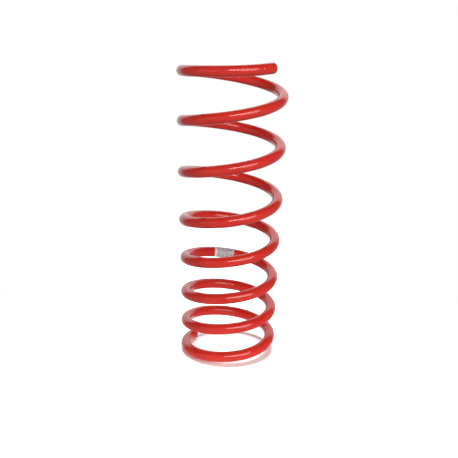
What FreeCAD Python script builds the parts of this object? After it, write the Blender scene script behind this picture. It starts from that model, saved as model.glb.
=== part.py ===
# Car suspension coil spring, wound right-handed from one round steel bar, with a wrapped label.
#
# Millimetres, +Z up. The origin lies on the coil's axis, in the lower spring seat's plane, so the
# lowest point of the wire is at z = 0. Azimuths are measured from +X towards +Y.
#
# A coil spring works by twisting its wire. The bar is therefore divided across its section into
# an end coil at each end and quarter-turn active lengths between them. Neighbouring lengths meet
# face to face on a plane square to the wire, and turn against each other about the wire's tangent.

import FreeCAD, Part
import math
import os

os.makedirs("parts", exist_ok=True)

# ---- driving dimensions -------------------------------------------------------------------

WIRE_DIAMETER = 14.0
TOTAL_TURNS = 7.482
LOWER_TIP_AZIMUTH = 146.0

# radius of the coil's centreline at the lower tip
LOWER_COIL_RADIUS = 57.0

# growth of that radius in mm per turn, against turns above the lower tip
RADIUS_GROWTH = (
    (0.0, 0.0),
    (2.5, 1.2),
    (5.0, 2.0),
    (TOTAL_TURNS, 0.0),
)

# pitch in mm per turn, against turns above the lower tip: both ends closed, the lower one flat
# and the upper one still rising a little at its tip; the lower coils lie close together and the
# upper coils wide apart, which makes the rate progressive
PITCH = (
    (0.0, 0.0),
    (0.5, 43.0),
    (1.0, 39.0),
    (2.0, 43.0),
    (3.0, 52.0),
    (4.0, 53.0),
    (5.0, 72.0),
    (6.0, 63.0),
    (6.8, 71.0),
    (7.3, 18.0),
    (TOTAL_TURNS, 18.0),
)

# rolled-over edge left round both cropped ends of the bar
TIP_EDGE_RADIUS = 1.5
TIP_STUB_LENGTH = 2.0

# the active wire starts at this azimuth on the first turn, and is divided every quarter turn
ACTIVE_START_AZIMUTH = 405.0
ACTIVE_TURNS = 6
QUARTERS = ("back", "left", "front", "right")

# each end coil is swept in this many stretches
END_COIL_STRETCHES = 3

# label wrapped round the wire, open on the outside of the coil
LABEL_CENTRE_AZIMUTH = 1178.3
LABEL_LENGTH = 30.0
LABEL_THICKNESS = 0.15
LABEL_WRAP_ANGLE = 320.0

# spacing of the points that carry the centreline, and the fewest spans that a stretch is cut into
POINTS_PER_TURN = 24
FEWEST_SPANS = 4

# two places closer than this are the same place
SAME_PLACE = 0.01

# ---- centreline ---------------------------------------------------------------------------


def rate_at(table, turns):
    """Rate read from a table of straight ramps."""
    for (start, low), (end, high) in zip(table, table[1:]):
        if turns <= end:
            return low + (high - low) * (turns - start) / (end - start)
    return table[-1][1]


def total_at(table, turns):
    """Sum of the rate from the lower tip up to the given number of turns."""
    total = 0.0
    for (start, low), (end, high) in zip(table, table[1:]):
        reach = min(turns, end)
        if reach > start:
            total += (low + rate_at(((start, low), (end, high)), reach)) / 2.0 * (reach - start)
    return total


def centre_point(turns):
    azimuth = math.radians(LOWER_TIP_AZIMUTH + 360.0 * turns)
    radius = LOWER_COIL_RADIUS + total_at(RADIUS_GROWTH, turns)
    height = WIRE_DIAMETER / 2.0 + total_at(PITCH, turns)
    return FreeCAD.Vector(radius * math.cos(azimuth), radius * math.sin(azimuth), height)


def centre_rate(turns):
    """Change of the centreline's point per turn."""
    azimuth = math.radians(LOWER_TIP_AZIMUTH + 360.0 * turns)
    radius = LOWER_COIL_RADIUS + total_at(RADIUS_GROWTH, turns)
    growth = rate_at(RADIUS_GROWTH, turns)
    around = 2.0 * math.pi * radius
    return FreeCAD.Vector(
        growth * math.cos(azimuth) - around * math.sin(azimuth),
        growth * math.sin(azimuth) + around * math.cos(azimuth),
        rate_at(PITCH, turns),
    )


def centre_tangent(turns):
    return centre_rate(turns).normalize()


def outward(turns):
    """Unit vector square to the wire, on the side away from the coil's axis."""
    azimuth = math.radians(LOWER_TIP_AZIMUTH + 360.0 * turns)
    radial = FreeCAD.Vector(math.cos(azimuth), math.sin(azimuth), 0.0)
    tangent = centre_tangent(turns)
    square = radial - tangent * radial.dot(tangent)
    return square.normalize()


def centreline(start, end):
    steps = max(FEWEST_SPANS, math.ceil((end - start) * POINTS_PER_TURN))
    stations = [start + (end - start) * index / steps for index in range(steps + 1)]
    curve = Part.BSplineCurve()
    curve.interpolate(
        Points=[centre_point(turns) for turns in stations],
        Parameters=stations,
        InitialTangent=centre_rate(start),
        FinalTangent=centre_rate(end),
        Scale=False,
    )
    return Part.Wire([curve.toShape()])


# ---- solids -------------------------------------------------------------------------------


def wire_piece(start, end):
    """Round wire between two stations, with flat faces square to it."""
    section = Part.Circle(centre_point(start), centre_tangent(start), WIRE_DIAMETER / 2.0)
    profile = Part.Wire([section.toShape()])
    return centreline(start, end).makePipeShell([profile], True, False)


def wire_tip(turns, direction):
    """Last short stub of the bar at a cropped end, with its edge rolled over."""
    radius = WIRE_DIAMETER / 2.0
    stub = Part.makeCylinder(radius, TIP_STUB_LENGTH, centre_point(turns), direction)
    far_middle = centre_point(turns) + direction * TIP_STUB_LENGTH
    far_rim = []
    for edge in stub.Edges:
        if edge.CenterOfMass.distanceToPoint(far_middle) < SAME_PLACE:
            far_rim.append(edge)
    return stub.makeFillet(TIP_EDGE_RADIUS, far_rim)


def end_coil(start, end, tip):
    """One end of the bar: three equal stretches of wire and the cropped tip, as one solid."""
    step = (end - start) / END_COIL_STRETCHES
    solid = tip
    for index in range(END_COIL_STRETCHES):
        solid = solid.fuse(wire_piece(start + index * step, start + (index + 1) * step))
    return solid.Solids[0]


def label_sleeve():
    """Thin sleeve that hugs the wire and stops short of meeting itself on the outside."""
    middle = (LABEL_CENTRE_AZIMUTH - LOWER_TIP_AZIMUTH) / 360.0
    half = LABEL_LENGTH / 2.0 / centre_rate(middle).Length
    start = middle - half
    end = middle + half
    across = outward(start)
    downward = centre_tangent(start).cross(across)
    inner = WIRE_DIAMETER / 2.0
    outer = inner + LABEL_THICKNESS
    open_half = math.radians((360.0 - LABEL_WRAP_ANGLE) / 2.0)

    def rim_point(distance, angle):
        side = across * math.cos(angle) + downward * math.sin(angle)
        return centre_point(start) + side * distance

    first = open_half
    last = 2.0 * math.pi - open_half
    inner_arc = Part.Arc(rim_point(inner, first), rim_point(inner, math.pi), rim_point(inner, last))
    outer_arc = Part.Arc(rim_point(outer, last), rim_point(outer, math.pi), rim_point(outer, first))
    outline = Part.Wire([
        inner_arc.toShape(),
        Part.makeLine(rim_point(inner, last), rim_point(outer, last)),
        outer_arc.toShape(),
        Part.makeLine(rim_point(outer, first), rim_point(inner, first)),
    ])
    return centreline(start, end).makePipeShell([outline], True, False)


# ---- division into lengths ----------------------------------------------------------------

first_cut = (ACTIVE_START_AZIMUTH - LOWER_TIP_AZIMUTH) / 360.0
last_cut = first_cut + ACTIVE_TURNS

lower_stub_turns = TIP_STUB_LENGTH / (2.0 * math.pi * LOWER_COIL_RADIUS)
upper_radius = LOWER_COIL_RADIUS + total_at(RADIUS_GROWTH, TOTAL_TURNS)
upper_stub_turns = TIP_STUB_LENGTH / (2.0 * math.pi * upper_radius)
lower_stub = wire_tip(lower_stub_turns, -centre_tangent(lower_stub_turns))
upper_stub_start = TOTAL_TURNS - upper_stub_turns
upper_stub = wire_tip(upper_stub_start, centre_tangent(upper_stub_start))

nodes = {}
nodes["lower_end_coil"] = end_coil(lower_stub_turns, first_cut, lower_stub)
for turn in range(ACTIVE_TURNS):
    for place, quarter in enumerate(QUARTERS):
        start = first_cut + turn + place / len(QUARTERS)
        end = start + 1.0 / len(QUARTERS)
        nodes["coil_%d_%s" % (turn + 1, quarter)] = wire_piece(start, end)
nodes["upper_end_coil"] = end_coil(last_cut, upper_stub_start, upper_stub)
nodes["identification_label"] = label_sleeve()

for name, shape in nodes.items():
    shape.exportStep("parts/%s.step" % name)
    print(name, shape.ShapeType, shape.isValid(), round(shape.Volume, 3))
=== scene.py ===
"""Looks of a red powder-coated suspension coil spring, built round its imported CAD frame.

Metres, in the CAD's frame: +Z up the coil's axis from the lower seat plane, camera on the -Y side.
The spring is one bar. It is skinned length by length, one piece on each CAD body, and the pieces
share their section planes and surface coordinates, so the paint runs on from one to the next.
"""

import math

import bpy
from mathutils import Matrix, Vector


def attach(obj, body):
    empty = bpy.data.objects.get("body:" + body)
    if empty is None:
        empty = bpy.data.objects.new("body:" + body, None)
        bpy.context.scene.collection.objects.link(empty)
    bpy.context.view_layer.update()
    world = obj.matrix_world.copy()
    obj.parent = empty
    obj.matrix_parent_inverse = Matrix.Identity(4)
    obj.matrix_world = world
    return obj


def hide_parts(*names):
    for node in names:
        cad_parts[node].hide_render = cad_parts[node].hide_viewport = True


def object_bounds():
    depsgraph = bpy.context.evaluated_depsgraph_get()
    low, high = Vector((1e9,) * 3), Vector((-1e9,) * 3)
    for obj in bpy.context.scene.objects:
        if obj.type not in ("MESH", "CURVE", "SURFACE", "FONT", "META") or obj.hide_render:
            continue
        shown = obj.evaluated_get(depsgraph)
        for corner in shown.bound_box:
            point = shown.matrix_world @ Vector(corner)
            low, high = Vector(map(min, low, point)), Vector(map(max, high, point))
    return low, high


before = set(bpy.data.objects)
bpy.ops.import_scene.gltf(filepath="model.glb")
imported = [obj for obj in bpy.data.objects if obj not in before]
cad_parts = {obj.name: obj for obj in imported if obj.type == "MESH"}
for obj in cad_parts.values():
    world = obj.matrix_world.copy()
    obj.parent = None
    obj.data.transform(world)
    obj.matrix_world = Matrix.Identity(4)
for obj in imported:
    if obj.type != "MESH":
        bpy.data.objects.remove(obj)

cad_low, cad_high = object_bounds()

# ---- the driving dimensions, as in the CAD ----------------------------------------------------

WIRE_RADIUS = 0.007
TOTAL_TURNS = 7.482
LOWER_TIP_AZIMUTH = 146.0
LOWER_COIL_RADIUS = 0.057
RADIUS_GROWTH = ((0.0, 0.0), (2.5, 0.0012), (5.0, 0.0020), (TOTAL_TURNS, 0.0))
PITCH = (
    (0.0, 0.0),
    (0.5, 0.043),
    (1.0, 0.039),
    (2.0, 0.043),
    (3.0, 0.052),
    (4.0, 0.053),
    (5.0, 0.072),
    (6.0, 0.063),
    (6.8, 0.071),
    (7.3, 0.018),
    (TOTAL_TURNS, 0.018),
)
ACTIVE_START_AZIMUTH = 405.0
ACTIVE_TURNS = 6
QUARTERS = ("back", "left", "front", "right")
TIP_EDGE_RADIUS = 0.0015
TIP_STUB_LENGTH = 0.002

LABEL_CENTRE_AZIMUTH = 1178.3
LABEL_LENGTH = 0.030
LABEL_THICKNESS = 0.00015
LABEL_WRAP_ANGLE = 320.0

# ---- what only the visual model has -----------------------------------------------------------

# the skin lies this far inside the CAD's round wire, so that its corners stay within the CAD's size
SKIN_INSET = 0.00003

# the label's rounded corners, and the clearance between its inner side and the CAD's round wire
LABEL_CORNER = 0.0015
LABEL_CLEARANCE = 0.00001

# mesh fineness
RINGS_PER_TURN = 240
FEWEST_RINGS = 4
RING_POINTS = 72
TIP_EDGE_STEPS = 8
TIP_FACE_RINGS = 5
LABEL_COLUMNS = 60
LABEL_ROWS = 96

# samples taken along the wire to add up its length
LENGTH_SAMPLES = 12

# wear on a tip: its cropped face, and how fast it grows over the rolled edge
FACE_WEAR = 0.6
EDGE_WEAR_POWER = 0.5

# ---- centreline -----------------------------------------------------------------------------


def rate_at(table, turns):
    """Rate read from a table of straight ramps."""
    for (start, low), (end, high) in zip(table, table[1:]):
        if turns <= end:
            return low + (high - low) * (turns - start) / (end - start)
    return table[-1][1]


def total_at(table, turns):
    """Sum of the rate from the lower tip up to the given number of turns."""
    total = 0.0
    for (start, low), (end, high) in zip(table, table[1:]):
        reach = min(turns, end)
        if reach > start:
            total += (low + rate_at(((start, low), (end, high)), reach)) / 2.0 * (reach - start)
    return total


def azimuth_at(turns):
    return math.radians(LOWER_TIP_AZIMUTH + 360.0 * turns)


def radius_at(turns):
    return LOWER_COIL_RADIUS + total_at(RADIUS_GROWTH, turns)


def centre_point(turns):
    azimuth = azimuth_at(turns)
    radius = radius_at(turns)
    height = WIRE_RADIUS + total_at(PITCH, turns)
    return Vector((radius * math.cos(azimuth), radius * math.sin(azimuth), height))


def section_frame(turns):
    """Tangent up the wire, the way out from the coil's axis, and the way across, which points down."""
    azimuth = azimuth_at(turns)
    radial = Vector((math.cos(azimuth), math.sin(azimuth), 0.0))
    around = Vector((-math.sin(azimuth), math.cos(azimuth), 0.0))
    speed = radial * rate_at(RADIUS_GROWTH, turns) + around * (2.0 * math.pi * radius_at(turns))
    speed.z = rate_at(PITCH, turns)
    tangent = speed.normalized()
    outward = (radial - tangent * radial.dot(tangent)).normalized()
    return tangent, outward, tangent.cross(outward)


def length_to(turns):
    """Length of wire from the lower tip, near enough for surface coordinates."""
    total = 0.0
    for index in range(LENGTH_SAMPLES):
        middle = turns * (index + 0.5) / LENGTH_SAMPLES
        turn_length = math.hypot(2.0 * math.pi * radius_at(middle), rate_at(PITCH, middle))
        total += turn_length * turns / LENGTH_SAMPLES
    return total


# ---- meshes ---------------------------------------------------------------------------------


class Skin:
    """A mesh in the making: rings of points with their normals, surface coordinates and wear."""

    def __init__(self):
        self.points = []
        self.normals = []
        self.coordinates = []
        self.wear = []
        self.faces = []

    def ring(self, middle, outward, crosswise, radius, normal_tilt, forward, along, wear):
        """One ring of RING_POINTS + 1 points; the last repeats the first, for the seam."""
        first = len(self.points)
        for index in range(RING_POINTS + 1):
            angle = 2.0 * math.pi * index / RING_POINTS
            side = outward * math.cos(angle) + crosswise * math.sin(angle)
            self.points.append(middle + side * (radius - SKIN_INSET))
            self.normals.append(side * math.cos(normal_tilt) + forward * math.sin(normal_tilt))
            self.coordinates.append((along, angle * WIRE_RADIUS))
            self.wear.append(wear)
        return first

    def join(self, first, second, flip=False):
        for index in range(RING_POINTS):
            quad = (first + index, first + index + 1, second + index + 1, second + index)
            self.faces.append(quad[::-1] if flip else quad)

    def build(self, name, material):
        mesh = bpy.data.meshes.new(name)
        mesh.from_pydata([tuple(p) for p in self.points], [], self.faces)
        layer = mesh.uv_layers.new(name="surface")
        for loop in mesh.loops:
            layer.data[loop.index].uv = self.coordinates[loop.vertex_index]
        wear = mesh.attributes.new("wear", "FLOAT", "POINT")
        wear.data.foreach_set("value", self.wear)
        mesh.shade_smooth()
        mesh.normals_split_custom_set_from_vertices([tuple(n.normalized()) for n in self.normals])
        mesh.materials.append(material)
        piece = bpy.data.objects.new(name, mesh)
        bpy.context.scene.collection.objects.link(piece)
        return piece


def tip_rings(skin, turns, direction, along):
    """Stub, rolled edge and cropped face beyond the station; direction is +1 up the wire or -1."""
    tangent, outward, crosswise = section_frame(turns)
    forward = tangent * direction
    start = centre_point(turns)
    straight = TIP_STUB_LENGTH - TIP_EDGE_RADIUS
    rings = [skin.ring(start, outward, crosswise, WIRE_RADIUS, 0.0, forward, along, 0.0)]
    for step in range(TIP_EDGE_STEPS + 1):
        angle = math.pi / 2.0 * step / TIP_EDGE_STEPS
        reach = straight + TIP_EDGE_RADIUS * math.sin(angle)
        radius = WIRE_RADIUS - TIP_EDGE_RADIUS * (1.0 - math.cos(angle))
        middle = start + forward * reach
        place = along + direction * reach
        wear = math.sin(angle) ** EDGE_WEAR_POWER
        rings.append(skin.ring(middle, outward, crosswise, radius, angle, forward, place, wear))
    face_radius = WIRE_RADIUS - TIP_EDGE_RADIUS
    face_middle = start + forward * TIP_STUB_LENGTH
    for step in range(1, TIP_FACE_RINGS + 1):
        radius = face_radius * (1.0 - step / TIP_FACE_RINGS) + 2.0 * SKIN_INSET
        place = along + direction * (TIP_STUB_LENGTH + face_radius - radius)
        rings.append(skin.ring(
            face_middle, outward, crosswise, radius, math.pi / 2.0, forward, place, FACE_WEAR
        ))
    for first, second in zip(rings, rings[1:]):
        skin.join(first, second, flip=direction < 0)
    last_ring = rings[-1]
    skin.faces.append(tuple(last_ring + index for index in range(RING_POINTS))[::direction])


def wire_skin(name, start, end, material, lower_tip=False, upper_tip=False):
    """The outside of the bar between two stations."""
    skin = Skin()
    steps = max(FEWEST_RINGS, math.ceil((end - start) * RINGS_PER_TURN))
    rings = []
    for step in range(steps + 1):
        turns = start + (end - start) * step / steps
        tangent, outward, crosswise = section_frame(turns)
        rings.append(skin.ring(
            centre_point(turns), outward, crosswise, WIRE_RADIUS, 0.0, tangent, length_to(turns), 0.0
        ))
    for first, second in zip(rings, rings[1:]):
        skin.join(first, second)
    if lower_tip:
        tip_rings(skin, start, -1, length_to(start))
    if upper_tip:
        tip_rings(skin, end, 1, length_to(end))
    return skin.build(name, material)


# ---- shader helpers -------------------------------------------------------------------------


class Graph:
    """Short calls for a material's node tree."""

    def __init__(self, name):
        self.material = bpy.data.materials.new(name)
        self.material.use_nodes = True
        self.tree = self.material.node_tree
        self.shader = self.tree.nodes["Principled BSDF"]

    def node(self, kind, **inputs):
        made = self.tree.nodes.new(kind)
        for key, value in inputs.items():
            socket = made.inputs[key.replace("_", " ").title() if key.islower() else key]
            if isinstance(value, bpy.types.NodeSocket):
                self.tree.links.new(value, socket)
            else:
                socket.default_value = value
        return made

    def link(self, source, target):
        self.tree.links.new(source, target)

    def coordinates(self, output="Object"):
        return self.tree.nodes.new("ShaderNodeTexCoord").outputs[output]

    def stretched(self, vector, scale):
        mapping = self.tree.nodes.new("ShaderNodeMapping")
        mapping.inputs["Scale"].default_value = scale
        self.link(vector, mapping.inputs["Vector"])
        return mapping.outputs["Vector"]

    def noise(self, vector, scale, detail=2.0, roughness=0.5):
        made = self.node("ShaderNodeTexNoise", scale=scale, detail=detail, roughness=roughness)
        self.link(vector, made.inputs["Vector"])
        return made.outputs["Fac"]

    def cells(self, vector, scale, randomness=1.0):
        made = self.node("ShaderNodeTexVoronoi", scale=scale, randomness=randomness)
        self.link(vector, made.inputs["Vector"])
        return made

    def ramp(self, value, low, high, low_out=0.0, high_out=1.0):
        made = self.tree.nodes.new("ShaderNodeMapRange")
        made.clamp = True
        made.inputs["From Min"].default_value = low
        made.inputs["From Max"].default_value = high
        made.inputs["To Min"].default_value = low_out
        made.inputs["To Max"].default_value = high_out
        self.link(value, made.inputs["Value"])
        return made.outputs["Result"]

    def maths(self, operation, first, second=0.0):
        made = self.tree.nodes.new("ShaderNodeMath")
        made.operation = operation
        for socket, value in zip(made.inputs, (first, second)):
            if isinstance(value, bpy.types.NodeSocket):
                self.link(value, socket)
            else:
                socket.default_value = value
        return made.outputs[0]

    def mix(self, factor, first, second):
        made = self.tree.nodes.new("ShaderNodeMix")
        made.data_type = "RGBA"
        sockets = (made.inputs[0], made.inputs[6], made.inputs[7])
        for socket, value in zip(sockets, (factor, first, second)):
            if isinstance(value, bpy.types.NodeSocket):
                self.link(value, socket)
            else:
                socket.default_value = value
        return made.outputs[2]

    def spot(self, surface, along, across, half_length, half_width):
        """1 in the middle of an oval on the surface coordinates, falling to 0 at its edge."""
        mapping = self.tree.nodes.new("ShaderNodeMapping")
        mapping.vector_type = "TEXTURE"
        mapping.inputs["Location"].default_value = (along, across, 0.0)
        mapping.inputs["Scale"].default_value = (half_length, half_width, 1.0)
        self.link(surface, mapping.inputs["Vector"])
        reach = self.tree.nodes.new("ShaderNodeVectorMath")
        reach.operation = "LENGTH"
        self.link(mapping.outputs["Vector"], reach.inputs[0])
        return self.ramp(reach.outputs["Value"], 0.5, 1.0, 1.0, 0.0)

    def bump(self, height, distance, strength=1.0, under=None):
        made = self.tree.nodes.new("ShaderNodeBump")
        made.inputs["Distance"].default_value = distance
        made.inputs["Strength"].default_value = strength
        self.link(height, made.inputs["Height"])
        if under is not None:
            self.link(under, made.inputs["Normal"])
        return made.outputs["Normal"]


# ---- materials ------------------------------------------------------------------------------

PAINT_RED = (0.640, 0.029, 0.018, 1.0)
PAINT_DEEP = (0.580, 0.023, 0.015, 1.0)
PRIMER_DARK = (0.060, 0.018, 0.014, 1.0)
# the pale of the dust specks, also used for the painted glint by the upper tip
SPECK_AND_GLINT_PALE = (0.80, 0.42, 0.36, 1.0)

# a scuff on top of the lowest coil and a painted glint, a pale dot by the upper tip: turns above the
# lower tip, way round the wire downward from its outermost line, half length and half width
SCUFF_TURNS = 0.382
SCUFF_ACROSS = 0.0350
SCUFF_HALF_SIZE = (0.0032, 0.0013)
GLINT_TURNS = 7.433
GLINT_ACROSS = 0.0423
GLINT_HALF_SIZE = (0.0009, 0.0009)

# scales of the coat's textures, as repeats in a metre
DEPTH_SCALE = 38.0
SPECK_SCALE = 95.0
SHEEN_SCALE = 120.0
PEEL_SCALE = 420.0
GRAIN_SCALE = 900.0
GRIT_SCALE = 2600.0

# a dust speck's radius, in the middle and at its edge, as parts of a cell
SPECK_RADIUS = (0.022, 0.035)

# heights of the coat's bumps in metres
PEEL_HEIGHT = 0.00005
GRIT_HEIGHT = 0.00002
SPECK_HEIGHT = 0.00006

# how strongly each mark covers the red
SPECK_COVER = 0.55
GLINT_COVER = 0.75
SCUFF_COVER = (0.45, 0.95)

COAT_ROUGHNESS = (0.14, 0.18)
RUBBED_ROUGHNESS = 0.35
COAT_IOR = 1.50


def coated_bar():
    """Gloss red powder coat: faint orange peel, uneven depth of colour, dust, rubbed tips, a scuff, and
    a painted glint by the upper tip.
    """
    graph = Graph("coated_bar")
    place = graph.coordinates()
    wear_input = graph.tree.nodes.new("ShaderNodeAttribute")
    wear_input.attribute_name = "wear"
    wear = wear_input.outputs["Fac"]

    depth = graph.ramp(graph.noise(place, DEPTH_SCALE, 3.0), 0.35, 0.65)
    colour = graph.mix(depth, PAINT_RED, PAINT_DEEP)

    speck_cell = graph.cells(place, SPECK_SCALE)
    speck = graph.ramp(speck_cell.outputs["Distance"], *SPECK_RADIUS, 1.0, 0.0)
    colour = graph.mix(graph.maths("MULTIPLY", speck, SPECK_COVER), colour, SPECK_AND_GLINT_PALE)

    grain = graph.noise(place, GRAIN_SCALE, 4.0, 0.7)
    rubbed = graph.ramp(graph.maths("ADD", wear, graph.ramp(grain, 0.3, 0.7, -0.45, 0.45)), 0.80, 1.05)
    colour = graph.mix(rubbed, colour, PRIMER_DARK)

    surface = graph.tree.nodes.new("ShaderNodeUVMap")
    surface.uv_map = "surface"
    scuff = graph.spot(surface.outputs["UV"], length_to(SCUFF_TURNS), SCUFF_ACROSS, *SCUFF_HALF_SIZE)
    scuff_cover = graph.ramp(grain, 0.35, 0.55, *SCUFF_COVER)
    colour = graph.mix(graph.maths("MULTIPLY", scuff, scuff_cover), colour, PRIMER_DARK)
    # painted glint: a pale dot painted into the colour by the upper tip, where it stands in for a
    # reflection
    painted_glint = graph.spot(surface.outputs["UV"], length_to(GLINT_TURNS), GLINT_ACROSS, *GLINT_HALF_SIZE)
    colour = graph.mix(graph.maths("MULTIPLY", painted_glint, GLINT_COVER), colour, SPECK_AND_GLINT_PALE)
    graph.link(colour, graph.shader.inputs["Base Color"])

    sheen_patch = graph.ramp(graph.noise(place, SHEEN_SCALE, 3.0), 0.3, 0.7, *COAT_ROUGHNESS)
    rough = graph.maths("ADD", sheen_patch, graph.maths("MULTIPLY", rubbed, RUBBED_ROUGHNESS))
    graph.link(rough, graph.shader.inputs["Roughness"])

    peel = graph.noise(place, PEEL_SCALE, 1.0)
    grit = graph.noise(place, GRIT_SCALE, 2.0)
    normal = graph.bump(peel, PEEL_HEIGHT, 0.5)
    normal = graph.bump(grit, GRIT_HEIGHT, 0.4, normal)
    normal = graph.bump(speck, SPECK_HEIGHT, 0.6, normal)
    graph.link(normal, graph.shader.inputs["Normal"])

    graph.shader.inputs["IOR"].default_value = COAT_IOR
    return graph.material


FILM_WHITE = (0.80, 0.80, 0.79, 1.0)
FILM_SHADED = (0.72, 0.72, 0.72, 1.0)
PRINT_GREY = (0.13, 0.13, 0.135, 1.0)

# the panel of marks is tinted this grey, by this much
PANEL_GREY = (0.50, 0.50, 0.51, 1.0)
PANEL_COVER = 0.35

# rows of marks: their spacing round the wire and how far they stray from a straight line
ROW_PITCH = 0.0022
ROW_STRAY = 0.0004

# scale of the marks along a row, and the step in the noise between one row and the next
MARK_SCALE = 420.0
ROW_STEP = 7.3

# where the panel starts and stops along the label, each with a soft edge
PANEL_START = (0.0006, 0.0009)
PANEL_STOP = (0.0260, 0.0263)

MOTTLE_SCALE = 260.0
SATIN_SCALE = 700.0
FILM_ROUGHNESS = (0.30, 0.42)
CREASE_SCALE = 300.0
CREASE_STRETCH = (1.0, 1.0, 0.35)
CREASE_HEIGHT = 0.0001


def label_film():
    """Satin silver-white film with rows of grey marks that stand for print and say nothing."""
    graph = Graph("label_film")
    spot = graph.tree.nodes.new("ShaderNodeUVMap")
    spot.uv_map = "surface"
    parts = graph.node("ShaderNodeSeparateXYZ")
    graph.link(spot.outputs["UV"], parts.inputs[0])
    along = parts.outputs["X"]
    around = parts.outputs["Y"]

    one_line = graph.stretched(spot.outputs["UV"], (1.0, 0.0, 1.0))
    stray = graph.ramp(graph.noise(one_line, MARK_SCALE, 1.0), 0.3, 0.7, -ROW_STRAY, ROW_STRAY)
    rows = graph.maths("DIVIDE", graph.maths("ADD", around, stray), ROW_PITCH)
    row = graph.maths("FRACT", rows)
    in_row = graph.maths("MULTIPLY", graph.ramp(row, 0.22, 0.32), graph.ramp(row, 0.68, 0.78, 1.0, 0.0))
    row_number = graph.maths("FLOOR", rows)
    mark_place = graph.tree.nodes.new("ShaderNodeCombineXYZ")
    graph.link(graph.maths("MULTIPLY", along, MARK_SCALE), mark_place.inputs["X"])
    graph.link(graph.maths("MULTIPLY", row_number, ROW_STEP), mark_place.inputs["Y"])
    mark = graph.ramp(graph.noise(mark_place.outputs[0], 1.0, 2.0), 0.38, 0.46)
    after_start = graph.ramp(along, *PANEL_START)
    before_stop = graph.ramp(along, *PANEL_STOP, 1.0, 0.0)
    panel = graph.maths("MULTIPLY", after_start, before_stop)
    printed = graph.maths("MULTIPLY", graph.maths("MULTIPLY", in_row, mark), panel)

    place = graph.coordinates()
    mottled = graph.ramp(graph.noise(place, MOTTLE_SCALE, 3.0), 0.3, 0.7)
    ground = graph.mix(mottled, FILM_WHITE, FILM_SHADED)
    tint = graph.mix(graph.maths("MULTIPLY", panel, PANEL_COVER), ground, PANEL_GREY)
    graph.link(graph.mix(printed, tint, PRINT_GREY), graph.shader.inputs["Base Color"])
    rough = graph.ramp(graph.noise(place, SATIN_SCALE, 2.0), 0.3, 0.7, *FILM_ROUGHNESS)
    graph.link(rough, graph.shader.inputs["Roughness"])
    crease = graph.noise(graph.stretched(place, CREASE_STRETCH), CREASE_SCALE, 2.0)
    graph.link(graph.bump(crease, CREASE_HEIGHT, 0.35), graph.shader.inputs["Normal"])
    return graph.material


# ---- the label ------------------------------------------------------------------------------


def label_layer(lift):
    """Points of the film at one distance from the wire, row by row, and their surface coordinates."""
    middle = (LABEL_CENTRE_AZIMUTH - LOWER_TIP_AZIMUTH) / 360.0
    turn_length = math.hypot(2.0 * math.pi * radius_at(middle), rate_at(PITCH, middle))
    half_open = math.radians((360.0 - LABEL_WRAP_ANGLE) / 2.0)
    width = (2.0 * math.pi - 2.0 * half_open) * WIRE_RADIUS
    points = []
    spots = []
    for row in range(LABEL_ROWS + 1):
        across = width * row / LABEL_ROWS
        to_edge = min(across, width - across)
        inset = 0.0
        if to_edge < LABEL_CORNER:
            inset = LABEL_CORNER - math.sqrt(LABEL_CORNER ** 2 - (LABEL_CORNER - to_edge) ** 2)
        for column in range(LABEL_COLUMNS + 1):
            along = inset + (LABEL_LENGTH - 2.0 * inset) * column / LABEL_COLUMNS
            turns = middle + (along - LABEL_LENGTH / 2.0) / turn_length
            _, outward, crosswise = section_frame(turns)
            angle = half_open + across / WIRE_RADIUS
            side = outward * math.cos(angle) + crosswise * math.sin(angle)
            points.append(centre_point(turns) + side * (WIRE_RADIUS + lift))
            spots.append((along, across))
    return points, spots


def label_faces():
    """Quads over the outer layer, under the inner one, and round the film's border between them."""
    per_row = LABEL_COLUMNS + 1
    per_layer = per_row * (LABEL_ROWS + 1)
    faces = []
    for layer in (0, 1):
        for row in range(LABEL_ROWS):
            for column in range(LABEL_COLUMNS):
                first = layer * per_layer + row * per_row + column
                quad = (first, first + 1, first + per_row + 1, first + per_row)
                faces.append(quad if layer else quad[::-1])
    border = [(0, column) for column in range(LABEL_COLUMNS)]
    border += [(row, LABEL_COLUMNS) for row in range(LABEL_ROWS)]
    border += [(LABEL_ROWS, column) for column in range(LABEL_COLUMNS, 0, -1)]
    border += [(row, 0) for row in range(LABEL_ROWS, 0, -1)]
    corners = [row * per_row + column for row, column in border]
    for first, second in zip(corners, corners[1:] + corners[:1]):
        faces.append((first, second, second + per_layer, first + per_layer))
    return faces


def label_skin(name, material):
    """Thin film wrapped round the wire with rounded corners, open on the outside of the coil."""
    points = []
    spots = []
    for lift in (LABEL_THICKNESS, LABEL_CLEARANCE):
        layer_points, layer_spots = label_layer(lift)
        points += layer_points
        spots += layer_spots
    mesh = bpy.data.meshes.new(name)
    mesh.from_pydata([tuple(p) for p in points], [], label_faces())
    surface = mesh.uv_layers.new(name="surface")
    for loop in mesh.loops:
        surface.data[loop.index].uv = spots[loop.vertex_index]
    mesh.shade_smooth()
    mesh.materials.append(material)
    piece = bpy.data.objects.new(name, mesh)
    bpy.context.scene.collection.objects.link(piece)
    return piece


# ---- the object -----------------------------------------------------------------------------


def bar_lengths():
    """Each CAD node of the bar with the stations between which it lies, from the bottom up."""
    lower_stub = TIP_STUB_LENGTH / (2.0 * math.pi * radius_at(0.0))
    upper_stub = TOTAL_TURNS - TIP_STUB_LENGTH / (2.0 * math.pi * radius_at(TOTAL_TURNS))
    first_cut = (ACTIVE_START_AZIMUTH - LOWER_TIP_AZIMUTH) / 360.0
    last_cut = first_cut + ACTIVE_TURNS
    lengths = [("lower_end_coil", lower_stub, first_cut)]
    for turn in range(ACTIVE_TURNS):
        for place, quarter in enumerate(QUARTERS):
            start = first_cut + turn + place / len(QUARTERS)
            lengths.append((f"coil_{turn + 1}_{quarter}", start, start + 1.0 / len(QUARTERS)))
    lengths.append(("upper_end_coil", last_cut, upper_stub))
    return lengths


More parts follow.
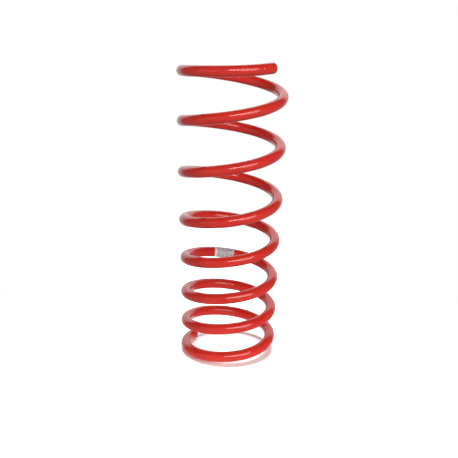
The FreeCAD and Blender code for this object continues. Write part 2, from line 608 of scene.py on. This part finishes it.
def build_spring():
    paint = coated_bar()
    for node, start, end in bar_lengths():
        piece = wire_skin(
            f"bar_{node}", start, end, paint,
            lower_tip=node == "lower_end_coil", upper_tip=node == "upper_end_coil",
        )
        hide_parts(node)
        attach(piece, node)
    label = label_skin("label_film", label_film())
    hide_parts("identification_label")
    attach(label, "coil_3_back")


build_spring()

# ---- studio ---------------------------------------------------------------------------------

CAMERA_DISTANCE = 1.1082
CAMERA_HEIGHT = 0.4901
CAMERA_YAW = math.radians(-0.06)
CAMERA_PITCH = math.radians(16.05)
CAMERA_ROLL = math.radians(1.125)
CAMERA_LENS = 67.98
SENSOR_WIDTH = 36.0


def add_camera():
    forward = Vector((
        math.sin(CAMERA_YAW) * math.cos(CAMERA_PITCH),
        math.cos(CAMERA_YAW) * math.cos(CAMERA_PITCH),
        -math.sin(CAMERA_PITCH),
    ))
    right = Vector((math.cos(CAMERA_YAW), -math.sin(CAMERA_YAW), 0.0))
    up = right.cross(forward)
    turned_right = right * math.cos(CAMERA_ROLL) + up * math.sin(CAMERA_ROLL)
    turned_up = up * math.cos(CAMERA_ROLL) - right * math.sin(CAMERA_ROLL)
    camera = bpy.data.objects.new("camera", bpy.data.cameras.new("camera"))
    camera.data.sensor_width = SENSOR_WIDTH
    camera.data.lens = CAMERA_LENS
    pose = Matrix((turned_right, turned_up, -forward)).transposed().to_4x4()
    pose.translation = Vector((0.0, -CAMERA_DISTANCE, CAMERA_HEIGHT))
    camera.matrix_world = pose
    bpy.context.scene.collection.objects.link(camera)
    bpy.context.scene.camera = camera


# the floor's reach to each side, towards the camera and away from it, and its drop below the part
FLOOR_SIDE = 0.36
FLOOR_FRONT = -0.34
FLOOR_BACK = 0.60
FLOOR_DROP = 0.0001
FLOOR_WHITE = (0.90, 0.90, 0.90, 1.0)
FLOOR_ROUGHNESS = 0.9
FLOOR_SPECULAR = 0.1


def add_floor():
    """Plain pale paper, which takes the coil's shadow but neither shows in the paint nor lights it."""
    height = min(0.0, cad_low.z) - FLOOR_DROP
    corners = [
        (-FLOOR_SIDE, FLOOR_FRONT, height),
        (FLOOR_SIDE, FLOOR_FRONT, height),
        (FLOOR_SIDE, FLOOR_BACK, height),
        (-FLOOR_SIDE, FLOOR_BACK, height),
    ]
    mesh = bpy.data.meshes.new("floor")
    mesh.from_pydata(corners, [], [(0, 1, 2, 3)])
    graph = Graph("floor_paper")
    graph.shader.inputs["Base Color"].default_value = FLOOR_WHITE
    graph.shader.inputs["Roughness"].default_value = FLOOR_ROUGHNESS
    graph.shader.inputs["Specular IOR Level"].default_value = FLOOR_SPECULAR
    mesh.materials.append(graph.material)
    floor = bpy.data.objects.new("floor", mesh)
    bpy.context.scene.collection.objects.link(floor)
    floor.visible_diffuse = False
    floor.visible_glossy = False
    return floor


def around_centre(azimuth, elevation, distance):
    """A place seen from the coil's middle; azimuth 0 is the camera's side, and goes to its right."""
    side = math.radians(azimuth)
    lift = math.radians(elevation)
    middle = (cad_low + cad_high) / 2.0
    return middle + distance * Vector((
        math.sin(side) * math.cos(lift),
        -math.cos(side) * math.cos(lift),
        math.sin(lift),
    ))


NEUTRAL = (1.0, 1.0, 1.0)
WARM = (1.0, 0.98, 0.96)
NEARLY_NEUTRAL = (1.0, 0.99, 0.98)

# soft lights: azimuth and elevation of the place that each shines from, in degrees; its width and
# height and its distance from the coil's middle, in metres; its power in watts; its colour; and
# whether the paint mirrors it
SOFT_LIGHTS = {
    "window_right": (35.0, 25.0, 2.44, 2.70, 4.4, 100.0, WARM, True),
    "flash_near_camera": (5.0, 28.0, 2.10, 1.14, 4.4, 80.0, NEARLY_NEUTRAL, True),
    "screen_left": (-52.0, 15.0, 1.73, 1.32, 2.2, 3.2, NEUTRAL, True),
    "fill_front_left": (-25.0, 15.0, 1.10, 1.10, 2.2, 2.2, NEUTRAL, False),
    "floor_bounce": (0.0, -90.0, 0.34, 0.34, cad_high.z / 2.0, 0.30, NEUTRAL, False),
}

# the lamp over the floor, which lights nothing else
OVERHEAD_STRENGTH = 6.0
OVERHEAD_ANGLE = math.radians(22.0)


def softbox(name, azimuth, elevation, width, height, distance, power, colour, mirrored):
    lamp = bpy.data.lights.new(name, "AREA")
    lamp.shape = "RECTANGLE"
    lamp.size = width
    lamp.size_y = height
    lamp.energy = power
    lamp.color = colour
    box = bpy.data.objects.new(name, lamp)
    place = around_centre(azimuth, elevation, distance)
    box.location = place
    middle = (cad_low + cad_high) / 2.0
    box.rotation_euler = (place - middle).to_track_quat("Z", "Y").to_euler()
    box.visible_camera = False
    box.visible_glossy = mirrored
    bpy.context.scene.collection.objects.link(box)


# brightness of the room against height of direction, from 0 straight down to 1 straight up
ROOM_STOPS = ((0.0, 0.38), (0.42, 0.50), (0.50, 0.26), (0.70, 0.26), (0.82, 0.05), (1.0, 0.05))

# the pale screen behind the object: its levels by height, as parts of its brightness; its turn
# about the coil's axis; and how much of a direction points backward where its edge fades in
SCREEN_STOPS = (
    (0.0, 0.15), (0.35, 0.40), (0.54, 0.38), (0.60, 0.42), (0.675, 0.62), (1.0, 0.62)
)
SCREEN_BRIGHTNESS = 3.0
SCREEN_TURN = math.radians(-3.0)
SCREEN_EDGE = (0.65, 0.69)

# what the camera sees past the object
PAPER_WHITE = (1.0, 1.0, 1.0, 1.0)


def levels_by_height(tree, height, stops):
    """Grey levels along the height of the direction looked in."""
    made = tree.nodes.new("ShaderNodeValToRGB")
    elements = made.color_ramp.elements
    elements[0].position, elements[1].position = stops[0][0], stops[-1][0]
    for place, level in stops[1:-1]:
        elements.new(place)
    for element, (place, level) in zip(elements, stops):
        element.color = (level, level, level, 1.0)
    tree.links.new(height, made.inputs["Fac"])
    return made.outputs["Color"]


def add_world():
    """White paper where the camera looks past the object; room and screen for light and mirroring."""
    world = bpy.data.worlds.new("studio")
    bpy.context.scene.world = world
    world.use_nodes = True
    tree = world.node_tree
    tree.nodes.clear()
    output = tree.nodes.new("ShaderNodeOutputWorld")
    paper = tree.nodes.new("ShaderNodeBackground")
    room = tree.nodes.new("ShaderNodeBackground")
    seen = tree.nodes.new("ShaderNodeLightPath")
    mix = tree.nodes.new("ShaderNodeMixShader")
    paper.inputs["Color"].default_value = PAPER_WHITE
    direction = tree.nodes.new("ShaderNodeTexCoord")
    turned = tree.nodes.new("ShaderNodeMapping")
    turned.inputs["Rotation"].default_value = (0.0, 0.0, SCREEN_TURN)
    tree.links.new(direction.outputs["Generated"], turned.inputs["Vector"])
    parts = tree.nodes.new("ShaderNodeSeparateXYZ")
    tree.links.new(turned.outputs["Vector"], parts.inputs[0])
    edge = tree.nodes.new("ShaderNodeMapRange")
    edge.inputs["From Min"].default_value, edge.inputs["From Max"].default_value = SCREEN_EDGE
    edge.inputs["To Min"].default_value = 0.0
    edge.inputs["To Max"].default_value = 1.0
    tree.links.new(parts.outputs["Y"], edge.inputs["Value"])
    height = tree.nodes.new("ShaderNodeMapRange")
    height.inputs["From Min"].default_value = -1.0
    height.inputs["From Max"].default_value = 1.0
    tree.links.new(parts.outputs["Z"], height.inputs["Value"])
    screen = tree.nodes.new("ShaderNodeMath")
    screen.operation = "MULTIPLY"
    tree.links.new(edge.outputs["Result"], screen.inputs[0])
    tree.links.new(levels_by_height(tree, height.outputs["Result"], SCREEN_STOPS), screen.inputs[1])
    brightness = tree.nodes.new("ShaderNodeMath")
    brightness.operation = "MULTIPLY"
    tree.links.new(screen.outputs[0], brightness.inputs[0])
    brightness.inputs[1].default_value = SCREEN_BRIGHTNESS
    strength = tree.nodes.new("ShaderNodeMath")
    strength.operation = "MAXIMUM"
    tree.links.new(brightness.outputs[0], strength.inputs[0])
    tree.links.new(levels_by_height(tree, height.outputs["Result"], ROOM_STOPS), strength.inputs[1])
    tree.links.new(strength.outputs[0], room.inputs["Strength"])
    tree.links.new(seen.outputs["Is Camera Ray"], mix.inputs[0])
    tree.links.new(room.outputs[0], mix.inputs[1])
    tree.links.new(paper.outputs[0], mix.inputs[2])
    tree.links.new(mix.outputs[0], output.inputs["Surface"])


def add_lights(floor):
    for name, settings in SOFT_LIGHTS.items():
        softbox(name, *settings)
    overhead = bpy.data.lights.new("overhead", "SUN")
    overhead.energy = OVERHEAD_STRENGTH
    overhead.angle = OVERHEAD_ANGLE
    top = bpy.data.objects.new("overhead", overhead)
    top.visible_camera = False
    bpy.context.scene.collection.objects.link(top)
    paper_only = bpy.data.collections.new("lit_from_above")
    paper_only.objects.link(floor)
    top.light_linking.receiver_collection = paper_only


add_camera()
add_world()
add_lights(add_floor())
bpy.context.scene.view_settings.view_transform = "Standard"
bpy.context.scene.view_settings.look = "None"
